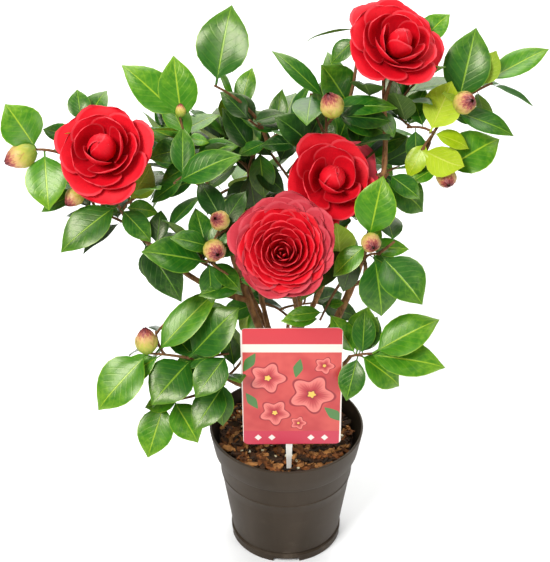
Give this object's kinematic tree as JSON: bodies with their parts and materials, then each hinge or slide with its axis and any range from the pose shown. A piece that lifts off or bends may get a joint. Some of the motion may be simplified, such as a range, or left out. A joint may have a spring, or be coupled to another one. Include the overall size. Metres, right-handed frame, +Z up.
{
  "type": "potted camellia shrub",
  "caption": "Young flowering camellia shrub in a round nursery pot: bark mulch, plant label on a stake, forked stems, glossy pointed leaves, double red blooms and buds.",
  "frame": {"origin": "centre of the pot's flat underside, on the pot's axis", "axes": "+Z up along the pot's axis, -Y towards the shrub's front with the label, +X to the right seen from the front"},
  "size_m": [0.4521, 0.2579, 0.5523],
  "materials": {
    "pot_plastic": "dark taupe recycled plastic with a soft sheen",
    "bark_mulch": "loose brown bark chips over dark compost",
    "label_card": "printed plastic card with a satin surface",
    "stake_plastic": "off-white moulded plastic",
    "bark": "brown-grey bark, finely fissured and rough",
    "petals": "soft matt crimson petals with paler edges",
    "leaves": "glossy leathery leaves with pale midribs"
  },
  "bodies": {
    "root": {"pot": "pot_plastic", "soil": "bark_mulch", "label_card": "label_card", "label_stake": "stake_plastic", "trunk": "bark", "bough_left": "bark", "bough_far_left": "bark", "bough_left_front": "bark", "bough_centre": "bark", "bough_front": "bark", "bough_mid": "bark", "bough_right": "bark", "bough_right_front": "bark", "bough_upright": "bark", "bough_outer_right": "bark", "bough_low_left": "bark", "bough_low_right": "bark", "bough_back_left": "bark", "bough_back_right": "bark", "bough_back_top": "bark", "bough_back_low": "bark", "bough_back_mid": "bark", "bloom_left": "petals", "bloom_centre": "petals", "bloom_right": "petals", "bloom_top": "petals", "mass_far_left": "leaves", "mass_top_left": "leaves", "mass_centre_top": "leaves", "mass_left_mid": "leaves", "mass_low_left": "leaves", "mass_low_right": "leaves", "mass_right_mid": "leaves", "mass_right_inner": "leaves", "mass_right_top": "leaves", "mass_top": "leaves", "mass_high_right": "leaves", "mass_back_left": "leaves", "mass_back_right": "leaves", "mass_back_top": "leaves", "mass_back_low": "leaves", "mass_back_mid": "leaves"}
  },
  "joints": []
}
